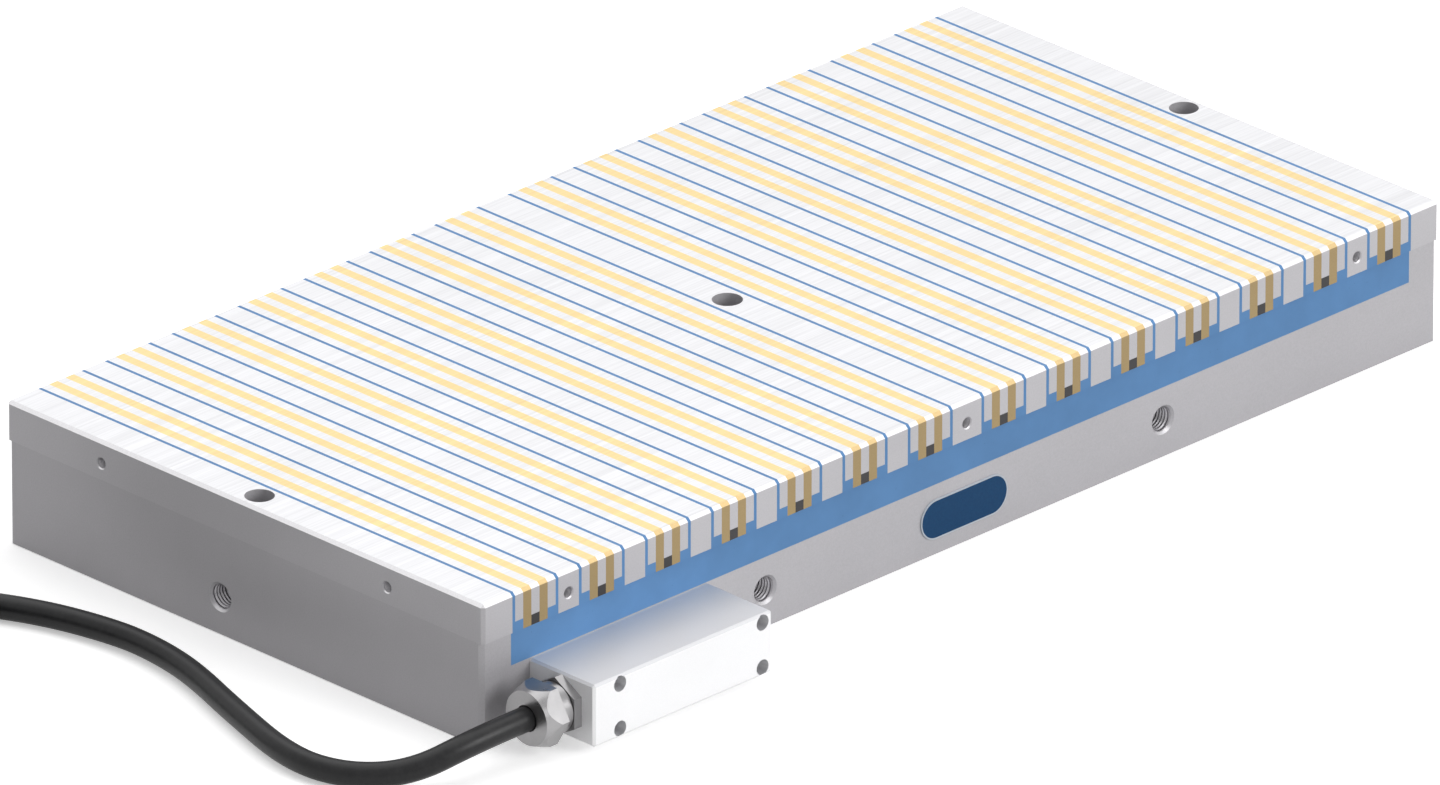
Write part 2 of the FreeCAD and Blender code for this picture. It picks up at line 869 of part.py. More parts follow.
def make_housing():
    """Milled aluminium box, open at the back, with four deep screw holes and the gland's thread."""
    body = new_body("Housing")
    outline = new_sketch(body, "XZ_Plane", "HousingOutline", base_half_width)
    ends_x = (housing_x, housing_x + s.housing_length)
    ends_z = (s.housing_rise, s.housing_rise + s.housing_height)
    draw_rectangle(outline, ends_x, ends_z)
    pad(body, outline, "HousingPad", s.housing_depth)
    back = housing_back.value

    def away_from_base(edge):
        return edge.CenterOfMass.y < back - 0.1

    chamfer(body, "HousingChamfer", s.housing_chamfer, away_from_base)

    cavity = new_sketch(body, "XZ_Plane", "CavityOutline", base_half_width)
    draw_rectangle(cavity, cavity_x, cavity_z)
    pocket(body, cavity, "Cavity", s.housing_depth - s.cavity_front_wall, with_normal=True)

    groove = new_sketch(body, "XZ_Plane", "GrooveOutline", base_half_width)
    for by in (s.gasket_land, s.gasket_land + s.gasket_width):
        draw_rectangle(groove, grown(cavity_x, by), grown(cavity_z, by))
    pocket(body, groove, "GasketGroove", s.gasket_depth, with_normal=True)

    heads = new_sketch(body, "XZ_Plane", "HousingHeads", base_half_width + s.housing_depth)
    holes = new_sketch(body, "XZ_Plane", "HousingHoles", base_half_width + s.housing_depth)
    for x, z in housing_screw_spots:
        draw_circle(heads, x, z, s.housing_screw_head_hole)
        draw_circle(holes, x, z, s.housing_screw_hole)
    pocket(body, heads, "HeadHoles", s.housing_screw_head_depth)
    pocket(body, holes, "ScrewHoles", s.housing_depth)

    thread = new_sketch(body, "YZ_Plane", "GlandThread", housing_x)
    draw_circle(thread, gland_y, gland_z, s.gland_thread)
    pocket(body, thread, "GlandHole", s.gland_stub + s.gland_stub_room, with_normal=True)

    passage = new_sketch(body, "YZ_Plane", "PassageOutline", housing_x)
    draw_circle(passage, gland_y, gland_z, s.gland_passage)
    pocket(body, passage, "Passage", s.cavity_left_wall, with_normal=True)
    return node("connection_housing", body)


def make_gasket():
    """A cord seal that fills the groove round the cavity's mouth."""
    body = new_body("Gasket")
    outline = new_sketch(body, "XZ_Plane", "GasketOutline", base_half_width)
    for by in (s.gasket_land, s.gasket_land + s.gasket_width):
        draw_rectangle(outline, grown(cavity_x, by), grown(cavity_z, by))
    pad(body, outline, "GasketPad", s.gasket_depth)
    return node("housing_gasket", body)


def make_housing_screws():
    """M4 cap screws at the bottom of the deep holes, into the base."""
    seat_y = housing_front + s.housing_screw_head_depth
    shank_length = s.housing_depth - s.housing_screw_head_depth + s.housing_screw_grip
    shank = rod("HousingShank", s.housing_screw, shank_length, 0, 0, 0, "+Y")
    head = rod("HousingHead", s.housing_screw_head, s.housing_screw_head_height, 0, 0, 0, "-Y")
    key = hexagon(
        "HousingKey",
        s.housing_screw_key,
        s.housing_screw_key_depth,
        0,
        -s.housing_screw_head_height,
        0,
        "+Y",
    )
    screw = boolean("Cut", "HousingScrew", fuse("HousingScrewBlank", [shank, head]), key)
    spots = [(x, seat_y, z) for x, z in housing_screw_spots]
    return node("housing_screws", copies("HousingScrews", screw, spots))


make_housing()
make_gasket()
make_housing_screws()

# Terminals and wires inside the housing and the base.

terminal_middle_x = (cavity_x[0] + cavity_x[1]) / 2
terminal_x = (
    terminal_middle_x - s.terminal_length / 2,
    terminal_middle_x + s.terminal_length / 2,
)
terminal_front = housing_front + s.cavity_front_wall
terminal_back = terminal_front + s.terminal_depth
terminal_z = (
    housing_middle_z - s.terminal_height / 2,
    housing_middle_z + s.terminal_height / 2,
)
terminal_top = terminal_z[1]
terminal_sink = s.terminal_screw / 2


def make_terminals():
    """An insulating block on the housing's front wall, with a row of clamp screws from above."""
    rough = block("TerminalBlank", terminal_x, (terminal_front, terminal_back), terminal_z)
    middle_y = (terminal_front + terminal_back) / 2
    holes = []
    screws = []
    for number in range(TERMINAL_SCREWS):
        x = terminal_middle_x + (number - (TERMINAL_SCREWS - 1) / 2) * s.terminal_screw_pitch
        low = terminal_top - s.terminal_height / 2
        depth = s.terminal_height / 2
        name = f"TerminalScrew{number}"
        holes.append(rod(f"{name}Hole", s.terminal_screw, depth, x, middle_y, low))
        screws.append(rod(name, s.terminal_screw, depth - terminal_sink, x, middle_y, low))
    node("terminal_block", boolean("Cut", "TerminalBlock", rough, fuse("TerminalHoles", holes)))
    node("terminal_screws", group("TerminalScrews", screws))


def make_leads():
    """Two wires from the terminals through the duct, each joined to a strap past the coils' ends."""
    strap_back = -(coil_outer_reach + s.lead_strap_gap)
    strap_front = strap_back - s.lead_strap_width
    strap_x = (pole_middle(0), pole_middle(POLES - 1))
    leads = []
    for number, side in enumerate((-1, 1)):
        z = s.duct_height + side * s.lead_wire_pitch / 2
        run = strap_front - terminal_back
        wire = rod(f"LeadRun{number}", s.lead_wire, run, duct_x, terminal_back, z, "+Y")
        half = s.lead_strap_height / 2
        strap = block(f"LeadStrap{number}", strap_x, (strap_front, strap_back), (z - half, z + half))
        leads.append(fuse(f"Lead{number}", [wire, strap]))
    return node("coil_leads", group("CoilLeads", leads))


def make_base_resin():
    """Resin cast round the magnets, coils, leads, screws and boss; it shows as the side bands."""
    side = (-base_half_width, base_half_width)
    length = (-trough_half_length, trough_half_length)
    trough = block("ResinBand", length, side, (band_bottom, s.base_height))
    well = block(
        "ResinWell",
        (-pocket_half_length, pocket_half_length),
        (-pocket_half_width, pocket_half_width),
        (s.pocket_floor, band_bottom),
    )
    half_boss = s.boss_width / 2
    boss = block(
        "ResinBoss",
        (-s.centre_pole / 2, s.centre_pole / 2),
        (-half_boss, half_boss),
        (s.pocket_floor, s.base_height),
    )
    sleeves = []
    for number, (x, y) in enumerate(pole_screw_spots[2:-2]):
        name = f"ResinSleeve{number:02d}"
        sleeves.append(rod(name, s.pole_screw, band_height, x, y, band_bottom))
    inside = [boss, magnets, coils, coil_leads] + sleeves
    rough = fuse("ResinBlank", [trough, well])
    return node("base_resin", boolean("Cut", "BaseResin", rough, group("ResinTools", inside)))


make_terminals()
coil_leads = make_leads()
make_base_resin()

# Cable gland on the housing's left end. Its axis runs towards -X from the housing's face.

flange_front = housing_x - s.flange_thickness
neck_end = flange_front - s.gland_neck
skirt_end = flange_front - s.seat_gap
hex_back = skirt_end - s.nut_skirt_length
nut_front = hex_back - s.nut_hex_length
nut_inner_face = nut_front + s.nut_wall
thrust_start = nut_inner_face + s.running_fit
seal_start = thrust_start + s.thrust_thickness + s.thread_fit
tail_end = housing_x + s.gland_stub - s.cable_tail_end
seat_end = neck_end + s.gland_seat_depth


def along_gland(name, diameter, start, end):
    """A cylinder on the gland's axis between two X places, start being the one nearer the housing."""
    return rod(name, diameter, start - end, start, gland_y, gland_z, "-X")


def make_gland_body():
    """Threaded into the housing; outside it has a hexagon flange and the neck for the nut."""
    flange = hexagon(
        "GlandFlange", s.flange_across_flats, s.flange_thickness, housing_x, gland_y, gland_z, "-X"
    )
    stub_outer = s.gland_thread - 2 * s.thread_fit
    stub = along_gland("GlandStub", stub_outer, housing_x + s.gland_stub, flange_front)
    neck = along_gland("GlandNeck", s.gland_thread, flange_front, neck_end)
    bore = along_gland("GlandBore", s.gland_bore, housing_x + s.gland_stub, neck_end)
    seat = along_gland("GlandSeat", s.gland_seat_bore, seat_end, neck_end)
    groove_width = s.o_ring_section
    groove_outer = along_gland(
        "GrooveOuter", s.o_ring_circle + groove_width, housing_x, housing_x - groove_width
    )
    groove_inner = along_gland(
        "GrooveInner", s.o_ring_circle - groove_width, housing_x, housing_x - groove_width
    )
    groove = boolean("Cut", "OringGroove", groove_outer, groove_inner)
    rough = fuse("GlandBlank", [flange, stub, neck])
    cuts = fuse("GlandCuts", [bore, seat, groove])
    return node("gland_body", boolean("Cut", "GlandBody", rough, cuts))


def make_o_ring():
    ring = doc.addObject("Part::Torus", "Oring")
    ring.Placement = Placement(Vector(), TOWARDS["-X"])
    bind(ring, Radius1=s.o_ring_circle / 2, Radius2=s.o_ring_section / 2)
    place(ring, housing_x - s.o_ring_section / 2, gland_y, gland_z)
    return node("gland_o_ring", ring)


def sleeve(name, outer, inner, start, end):
    """A plain ring on the gland's axis."""
    outside = along_gland(f"{name}Outside", outer, start, end)
    inside = along_gland(f"{name}Inside", inner, start, end)
    return boolean("Cut", name, outside, inside)


def make_seal():
    """Rubber sleeve squeezed between the thrust ring and the seat in the gland body."""
    outer = s.gland_seat_bore - 2 * s.thread_fit
    return node("gland_seal", sleeve("GlandSeal", outer, s.cable, seat_end, seal_start))


def make_thrust_ring():
    """Slip ring that the nut pushes along without turning it."""
    start = thrust_start + s.thrust_thickness
    return node("thrust_ring", sleeve("ThrustRing", s.thrust_outer, s.nut_bore, start, thrust_start))


def make_gland_nut():
    """Clamping nut: a hexagon turned to a cone at the front, and a round skirt over the neck."""
    prism = hexagon(
        "NutHex", s.nut_across_flats, s.nut_hex_length, hex_back, gland_y, gland_z, "-X", turn=30
    )
    cone = doc.addObject("Part::Cone", "NutNose")
    cone.Placement = Placement(Vector(), TOWARDS["-X"])
    face_radius = s.nut_face / 2
    back_radius = face_radius + s.nut_nose_slope * s.nut_hex_length
    bind(cone, Radius1=back_radius, Radius2=face_radius, Height=s.nut_hex_length)
    place(cone, hex_back, gland_y, gland_z)
    head = boolean("Common", "NutHead", prism, cone)
    skirt = along_gland("NutSkirt", s.nut_skirt, skirt_end, hex_back)
    bore = along_gland("NutBore", s.nut_bore, skirt_end, nut_front)
    thread = along_gland(
        "NutThread", s.gland_thread + 2 * s.running_fit, skirt_end, nut_inner_face
    )
    rough = fuse("NutBlank", [head, skirt])
    return node("gland_nut", boolean("Cut", "GlandNut", rough, fuse("NutCuts", [bore, thread])))


make_gland_body()
make_o_ring()
make_seal()
make_thrust_ring()
make_gland_nut()
node("cable_tail", along_gland("CableTail", s.cable, tail_end, nut_front))


def make_conductors():
    """The cable's wires, one in the middle and the rest round it, from the jacket to the terminals."""
    run = terminal_x[0] - tail_end
    wires = [rod("Conductor0", s.conductor, run, tail_end, gland_y, gland_z, "+X")]
    for number in range(1, CONDUCTORS):
        angle = 2 * math.pi * number / (CONDUCTORS - 1) + math.pi / 4
        y = gland_y + s.conductor_circle * round(math.cos(angle), 6)
        z = gland_z + s.conductor_circle * round(math.sin(angle), 6)
        wires.append(rod(f"Conductor{number}", s.conductor, run, tail_end, y, z, "+X"))
    return node("cable_conductors", group("CableConductors", wires))


make_conductors()

# The free cable: tubes along its two routes, and one ring that the stored turns fill.


def tube_path(points):
    """Straight runs joined by tangent arcs. Each arc takes 0.45 of the shorter run beside it."""
    corners = [Vector(*point) for point in points]
    edges = []
    radii = []
    start = corners[0]
    for before, corner, after in zip(corners, corners[1:], corners[2:]):
        run = 0.45 * min((corner - before).Length, (after - corner).Length)
        back = (before - corner).normalize()
        ahead = (after - corner).normalize()
        half_turn = (math.pi - back.getAngle(ahead)) / 2
        radius = run / math.tan(half_turn)
        first = corner + back * run
        last = corner + ahead * run
        inward = (back + ahead).normalize()
        middle = corner + inward * (math.hypot(radius, run) - radius)
        edges.append(Part.LineSegment(start, first).toShape())
        edges.append(Part.Arc(first, middle, last).toShape())
        radii.append(radius)
        start = last
    edges.append(Part.LineSegment(start, corners[-1]).toShape())
    return Part.Wire(edges), radii


def make_tube(name, points):
    """A round cable along a route, with its volume set against its section times its length."""
    path, radii = tube_path(points)
    radius = s.cable.value / 2
    start = Vector(*points[0])
    profile = Part.Wire(Part.Circle(start, Vector(*points[1]) - start, radius).toShape())
    solid = path.makePipeShell([profile], True, False)
    share = solid.Volume / (math.pi * radius**2 * path.Length)
    rounded = ", ".join(f"{r:.0f}" for r in radii)
    print(f"{name}: {path.Length:.0f} mm long, radii {rounded} mm, volume share {share:.4f}")
    if abs(share - 1) > 0.01:
        raise RuntimeError(f"{name} has the wrong volume")
    tube = doc.addObject("Part::Feature", name.title().replace("_", ""))
    tube.Shape = solid
    return node(name, tube)


bundle_outer_radius = s.bundle_radius + s.bundle_row_pitch + s.cable / 2
bundle_inner_radius = s.bundle_radius - s.bundle_row_pitch - s.cable / 2
bundle_low = s.tie_thickness + s.tie_slack
bundle_high = bundle_low + s.bundle_layer_pitch + s.cable


def make_bundle():
    """The outer shape of the wound cable, three turns across and two high, with its edges cut."""
    corner = s.cable / 4
    profile = [
        (bundle_inner_radius, bundle_low + corner),
        (bundle_inner_radius + corner, bundle_low),
        (bundle_outer_radius - corner, bundle_low),
        (bundle_outer_radius, bundle_low + corner),
        (bundle_outer_radius, bundle_high - corner),
        (bundle_outer_radius - corner, bundle_high),
        (bundle_inner_radius + corner, bundle_high),
        (bundle_inner_radius, bundle_high - corner),
    ]
    ring = turned("CableCoil", profile)
    return node("cable_coil", place(ring, *COIL_CENTRE))


def make_ties():
    """Hook-and-loop bands round the bundle, flat on the floor under it."""
    outer = s.tie_thickness + s.tie_slack
    ties = []
    for number, heading in enumerate(TIE_HEADINGS):
        width_angle = math.degrees(s.tie_width.value / s.bundle_radius.value)
        turn = Rotation(Vector(0, 0, 1), heading)
        parts = []
        for part, radius, low, high in (
            ("Outer", bundle_outer_radius + outer, 0, bundle_high + outer),
            ("Hub", bundle_inner_radius - outer, 0, bundle_high + outer),
            ("Room", bundle_outer_radius + s.tie_slack, s.tie_thickness, bundle_high + s.tie_slack),
            ("Core", bundle_inner_radius - s.tie_slack, s.tie_thickness, bundle_high + s.tie_slack),
        ):
            sector = rod(f"Tie{part}{number}", 2 * radius, high - low, *COIL_CENTRE, low)
            sector.Placement.Rotation = turn
            sector.Angle = width_angle
            parts.append(sector)
        band = boolean("Cut", f"TieBand{number}", parts[0], parts[1])
        room = boolean("Cut", f"TieRoom{number}", parts[2], parts[3])
        ties.append(boolean("Cut", f"Tie{number}", band, room))
    return node("coil_ties", group("CoilTies", ties))


make_tube("cable_tube", CABLE_ROUTE)
make_tube("cable_end", CABLE_END_ROUTE)
make_bundle()
make_ties()

# Round connector on the cable's end. Its own axis runs towards -X, from the cable to its mouth.

cable_stop, plug_y, plug_z = CABLE_END_ROUTE[-1]
plug_x = cable_stop + s.cable_in_plug
plug_body_start = s.plug_clamp_length
plug_body_end = plug_body_start + s.plug_body_length
mouth_floor = plug_body_end - s.plug_mouth_depth
insert_start = mouth_floor - s.plug_insert_length
ring_end = plug_body_end + s.ring_overhang
ring_start = ring_end - s.ring_length
retainer_start = ring_start + s.ring_lip + s.running_fit
retainer_end = retainer_start + s.retainer_length
cable_room = s.cable + 2 * s.seat_gap


def stand_on_plug_axis(thing, along=0):
    """Turn a piece made along Z to lie along the connector's axis, at a distance from the cable."""
    thing.Placement = Placement(Vector(), TOWARDS["-X"])
    return place(thing, plug_x - along, plug_y, plug_z)


def make_plug():
    """Clamp nut, shell, insert, contacts and coupling ring."""
    clamp_radius = s.plug_clamp_diameter / 2
    clamp = turned(
        "PlugClamp",
        [
            (cable_room / 2, 0),
            (clamp_radius - s.plug_edge, 0),
            (clamp_radius, s.plug_edge),
            (clamp_radius, s.plug_clamp_length),
            (cable_room / 2, s.plug_clamp_length),
        ],
    )
    stand_on_plug_axis(clamp)
    hex_length = s.plug_clamp_length
    flats = stand_on_plug_axis(hexagon("PlugClampHex", s.plug_clamp_flats, hex_length, 0, 0, 0))
    node("connector_clamp_nut", boolean("Common", "PlugClampNut", clamp, flats))

    body_radius = s.plug_body_diameter / 2
    tail_radius = s.plug_tail_diameter / 2
    retainer_radius = body_radius + s.retainer_height
    shell = turned(
        "PlugShell",
        [
            (cable_room / 2, plug_body_start),
            (tail_radius, plug_body_start),
            (body_radius, plug_body_start + (body_radius - tail_radius)),
            (body_radius, retainer_start),
            (retainer_radius, retainer_start),
            (retainer_radius, retainer_end),
            (body_radius, retainer_end),
            (body_radius, plug_body_end),
            (s.plug_mouth_bore / 2, plug_body_end),
            (s.plug_mouth_bore / 2, insert_start),
            (cable_room / 2, insert_start),
        ],
    )
    node("connector_shell", stand_on_plug_axis(shell))

    insert = rod("PlugInsert", s.plug_mouth_bore, s.plug_insert_length, 0, 0, 0)
    stand_on_plug_axis(insert, insert_start)
    holes = []
    pins = []
    pin_spots = [(0, 0)]
    for number in range(PLUG_PINS):
        angle = 2 * math.pi * number / PLUG_PINS
        pin_spots.append((round(math.cos(angle), 6), round(math.sin(angle), 6)))
    for number, (across, up) in enumerate(pin_spots):
        y = plug_y + s.plug_pin_circle / 2 * across
        z = plug_z + s.plug_pin_circle / 2 * up
        start = plug_x - insert_start
        length = s.plug_insert_length + s.plug_pin_length
        holes.append(rod(f"PinHole{number}", s.plug_pin, length, start, y, z, "-X"))
        pins.append(rod(f"Pin{number}", s.plug_pin, length, start, y, z, "-X"))
    node("connector_insert", boolean("Cut", "PlugInsertDrilled", insert, fuse("PinHoles", holes)))
    node("connector_pins", group("ConnectorPins", pins))

    inner = body_radius + s.running_fit
    groove = retainer_radius + s.running_fit
    outer = s.ring_outer / 2
    ring = turned(
        "CouplingRing",
        [
            (inner, ring_start),
            (outer - s.ring_edge, ring_start),
            (outer, ring_start + s.ring_edge),
            (outer, ring_end - s.ring_edge),
            (outer - s.ring_edge, ring_end),
            (inner, ring_end),
            (inner, retainer_end + s.running_fit),
            (groove, retainer_end + s.running_fit),
            (groove, retainer_start - s.running_fit),
            (inner, retainer_start - s.running_fit),
        ],
    )
    node("coupling_ring", stand_on_plug_axis(ring))


make_plug()

# Badge plate, left bare, on the near side of the base.


def make_badge():
    """A stadium of thin sheet: a block with a round end at each side."""
    radius = s.badge_height / 2
    straight = s.badge_length / 2 - radius
    front = -base_half_width - s.badge_thickness
    low = s.badge_centre_height - radius
    across = (s.badge_shift - straight, s.badge_shift + straight)
    middle = block("BadgeMiddle", across, (front, -base_half_width), (low, low + s.badge_height))
    shapes = [middle]
    for side, x in zip(("Left", "Right"), across):
        name = f"BadgeEnd{side}"
        end = rod(
            name, s.badge_height, s.badge_thickness, x, -base_half_width, s.badge_centre_height, "-Y"
        )
        shapes.append(end)
    badge = fuse("Badge", shapes)
    badge.Refine = True
    return node("badge_plate", badge)


make_badge()


def check_and_write():
    """Stop on any failed object or bad shape, then write one STEP file for each sub-part."""
    doc.recompute()
    for thing in doc.Objects:
        if {"Invalid", "Error"} & set(thing.State):
            raise RuntimeError(f"{thing.Name} failed: {thing.State}")
    os.makedirs("parts", exist_ok=True)
    for name, thing in sorted(nodes.items()):
        shape = thing.Shape
        if shape.isNull() or not shape.isValid() or not shape.Solids:
            raise RuntimeError(f"{name} has no valid solid")
        shape.exportStep(f"parts/{name}.step")
        print(f"{name}: {len(shape.Solids)} solids, {shape.Volume:.0f} mm3")
    print(f"{len(nodes)} sub-parts")


check_and_write()
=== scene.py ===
import math

import bpy
import numpy as np
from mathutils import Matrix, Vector


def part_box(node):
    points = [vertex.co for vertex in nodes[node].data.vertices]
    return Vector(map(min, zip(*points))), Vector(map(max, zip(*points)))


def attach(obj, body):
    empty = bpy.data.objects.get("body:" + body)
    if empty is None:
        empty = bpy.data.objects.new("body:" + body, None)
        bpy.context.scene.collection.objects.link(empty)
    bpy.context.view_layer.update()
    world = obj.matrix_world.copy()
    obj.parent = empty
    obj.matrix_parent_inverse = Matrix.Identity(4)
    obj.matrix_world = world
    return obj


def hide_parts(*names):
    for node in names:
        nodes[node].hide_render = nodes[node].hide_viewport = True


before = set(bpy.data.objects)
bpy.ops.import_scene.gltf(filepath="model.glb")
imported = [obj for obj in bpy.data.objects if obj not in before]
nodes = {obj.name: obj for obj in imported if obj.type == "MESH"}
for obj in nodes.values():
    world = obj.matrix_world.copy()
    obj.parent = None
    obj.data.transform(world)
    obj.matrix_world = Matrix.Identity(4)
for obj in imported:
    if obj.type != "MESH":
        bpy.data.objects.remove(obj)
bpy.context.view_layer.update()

# Base body: one block of mild steel, milled all over and ground on the underside. Its side faces
# keep the even grain of the face mill and are coloured darker than the top, partly for the duller
# milled finish and partly as painted shade. The pocket for the magnets is hidden in the block.


class Finish:
    """A finish in the making: one material, its shader and short ways to add nodes to it."""

    def __init__(self, name, **sockets):
        """A new material. A keyword names a socket of the shader, as in Specular_IOR_Level."""
        self.material = bpy.data.materials.new(name)
        self.material.use_nodes = True
        self.tree = self.material.node_tree
        self.shader = self.tree.nodes["Principled BSDF"]
        for socket, value in sockets.items():
            self.shader.inputs[socket.replace("_", " ")].default_value = value
        self.place = self.tree.nodes.new("ShaderNodeTexCoord").outputs

    def add(self, kind, *inputs, **settings):
        """A node. An input is a socket, which is joined, or a value; None leaves it alone."""
        node = self.tree.nodes.new("ShaderNode" + kind)
        for key, value in settings.items():
            setattr(node, key, value)
        for slot, value in zip(node.inputs, inputs):
            if isinstance(value, bpy.types.NodeSocket):
                self.tree.links.new(value, slot)
            elif value is not None:
                slot.default_value = value
        return node

    def stretched(self, *scale):
        """Object coordinates times a scale for each axis, so a pattern is long where it is small."""
        node = self.add("Mapping", self.place["Object"])
        node.inputs["Scale"].default_value = scale
        return node.outputs[0]

    def noise(self, where, scale, detail=2.0, roughness=0.5):
        """Smooth noise between 0 and 1, with one grain to each 1/scale of the coordinate."""
        node = self.add("TexNoise", where)
        for socket, value in (("Scale", scale), ("Detail", detail), ("Roughness", roughness)):
            node.inputs[socket].default_value = value
        return node.outputs["Fac"]

    def sum(self, operation, *inputs):
        return self.add("Math", *inputs, operation=operation).outputs[0]

    def spread(self, value, low, high, start=0.0, end=1.0):
        """The value, from low..high to start..end, held at the ends."""
        return self.add("MapRange", value, low, high, start, end).outputs[0]

    def ramp(self, value, *stops):
        """A colour for each value: the stops are (place, (red, green, blue))."""
        node = self.add("ValToRGB", value)
        while len(node.color_ramp.elements) < len(stops):
            node.color_ramp.elements.new(0.5)
        for element, (where, colour) in zip(node.color_ramp.elements, stops):
            element.position = where
            element.color = (*colour, 1)
        return node.outputs[0]

    def blend(self, share, first, second, how="MIX"):
        """Two colours, blended by the share of the second."""
        node = self.add("Mix", data_type="RGBA", blend_type=how)
        for slot, value in ((0, share), (6, first), (7, second)):
            if isinstance(value, bpy.types.NodeSocket):
                self.tree.links.new(value, node.inputs[slot])
            elif slot == 0:
                node.inputs[0].default_value = value
            else:
                node.inputs[slot].default_value = (*value, 1)
        return node.outputs[2]

    def drive(self, socket, output):
        self.tree.links.new(output, self.shader.inputs[socket])

    def bump(self, height, depth, strength=1.0):
        """Fine relief: a height of 1 stands depth metres proud."""
        node = self.add("Bump")
        node.inputs["Strength"].default_value = strength
        node.inputs["Distance"].default_value = depth
        self.tree.links.new(height, node.inputs["Height"])
        self.drive("Normal", node.outputs[0])

    def up(self):
        """How far the surface faces up, from -1 to 1."""
        return self.add("SeparateXYZ", self.place["Normal"]).outputs[2]


def dress(finish, *names):
    """Puts the finish into every material slot of these CAD nodes."""
    for name in names:
        for slot in nodes[name].material_slots:
            slot.material = finish.material


def ground_metal(name, side, corner, top):
    """Bar that is milled at its sides and ground on top, where the wheel leaves long streaks.

    The colour goes by the way each face points: the sides darker than the top, partly for the
    duller milled finish and partly as painted shade, and the chamfers in a colour of their own.
    """
    finish = Finish(name)
    up = finish.up()
    # Colour by facing: sides darker than the top, partly a duller milled finish and partly painted shade;
    # chamfers in the corner colour, a painted highlight where it is brighter than the top.
    colour = finish.ramp(up, (0.50, side), (0.62, corner), (0.80, corner), (0.93, top))
    on_top = finish.spread(up, 0.80, 0.95)
    streaks = finish.noise(finish.stretched(9, 800, 800), 1.0, 4.0, 0.62)
    scratches = finish.noise(finish.stretched(35, 2600, 2600), 1.0, 2.0, 0.5)
    grain = finish.noise(finish.place["Object"], 1400, 3.0, 0.7)
    clouds = finish.noise(finish.place["Object"], 22, 3.0, 0.6)
    streak_shade = finish.sum("ADD", finish.spread(streaks, 0.25, 0.75, 0.90, 1.07),
                              finish.spread(scratches, 0.2, 0.8, -0.035, 0.035))
    side_shade = finish.sum("ADD", finish.spread(grain, 0.25, 0.75, 0.93, 1.07),
                            finish.spread(clouds, 0.25, 0.75, -0.03, 0.03))
    shade = finish.add("Mix", on_top, None, side_shade, streak_shade)
    shade = shade.outputs[0]
    grey = finish.add("CombineColor", shade, shade, shade).outputs[0]
    finish.drive("Base Color", finish.blend(1.0, colour, grey, "MULTIPLY"))
    finish.drive("Metallic", finish.spread(up, 0.4, 0.93, 0.35, 0.92))
    rough = finish.sum("ADD", finish.spread(up, 0.5, 0.93, 0.50, 0.34),
                       finish.spread(streaks, 0.25, 0.75, -0.04, 0.05))
    finish.drive("Roughness", rough)
    relief = finish.add("Mix", on_top, None, grain, streaks).outputs[0]
    finish.bump(relief, 0.000012)
    return finish


base_steel = ground_metal("milled base steel", (0.46, 0.45, 0.47), (0.62, 0.61, 0.63), (0.72, 0.72, 0.73))
dress(base_steel, "base_body")

# Reversible magnets, their coils and the wires between them: cast alnico blocks, each in a coil of
# enamelled wire, with red leads that join them to the housing. Resin covers them all.


def plain_finish(name, colour, roughness, spot=900, contrast=0.06, relief=0.00001, **sockets):
    """One colour with a fine grain in its shade and in its surface."""
    finish = Finish(name, **sockets)
    grain = finish.noise(finish.place["Object"], spot, 3.0, 0.6)
    clouds = finish.noise(finish.place["Object"], 30, 2.0, 0.5)
    mixed = finish.sum("MULTIPLY_ADD", clouds, 0.5, finish.sum("MULTIPLY", grain, 0.5))
    dark = [part * (1 - contrast) for part in colour]
    light = [min(1, part * (1 + contrast)) for part in colour]
    finish.drive("Base Color", finish.ramp(mixed, (0.3, dark), (0.7, light)))
    finish.drive("Roughness", finish.spread(grain, 0.2, 0.8, roughness - 0.05, roughness + 0.05))
    finish.bump(grain, relief)
    return finish


alnico = plain_finish("cast alnico", (0.42, 0.41, 0.39), 0.42, 260, 0.12, 0.00008, Metallic=1.0)
dress(alnico, "reversible_magnets")


def wound_wire(name, colour, pitch):
    """Layers of round wire: ridges a wire's width apart up the coil's height, and painted shade
    coloured into the grooves between the wires.
    """
    finish = Finish(name, Metallic=0.7, Coat_Weight=0.4, Coat_Roughness=0.15)
    height = finish.add("SeparateXYZ", finish.place["Object"]).outputs[2]
    turn = finish.sum("FRACT", finish.sum("MULTIPLY", height, 1 / pitch))
    ridge = finish.sum("SINE", finish.sum("MULTIPLY", turn, math.pi))
    # The grooves between the wires are coloured darker than the ridges: painted shade.
    dark = [part * 0.45 for part in colour]
    finish.drive("Base Color", finish.ramp(ridge, (0.0, dark), (0.6, colour)))
    finish.drive("Roughness", finish.spread(ridge, 0, 1, 0.6, 0.3))
    finish.bump(ridge, pitch / 4)
    return finish


dress(wound_wire("enamelled copper winding", (0.62, 0.27, 0.10), 0.0012), "magnet_coils")
red_wire = plain_finish("red wire insulation", (0.55, 0.03, 0.02), 0.38, 400, 0.10)
dress(red_wire, "coil_leads", "cable_conductors")

# Casting resin: blue epoxy that fills the base's pocket and the slots of the plate. It shows as a
# band along each long side, as a foot under each bar and as a thin line at each side of a pole.


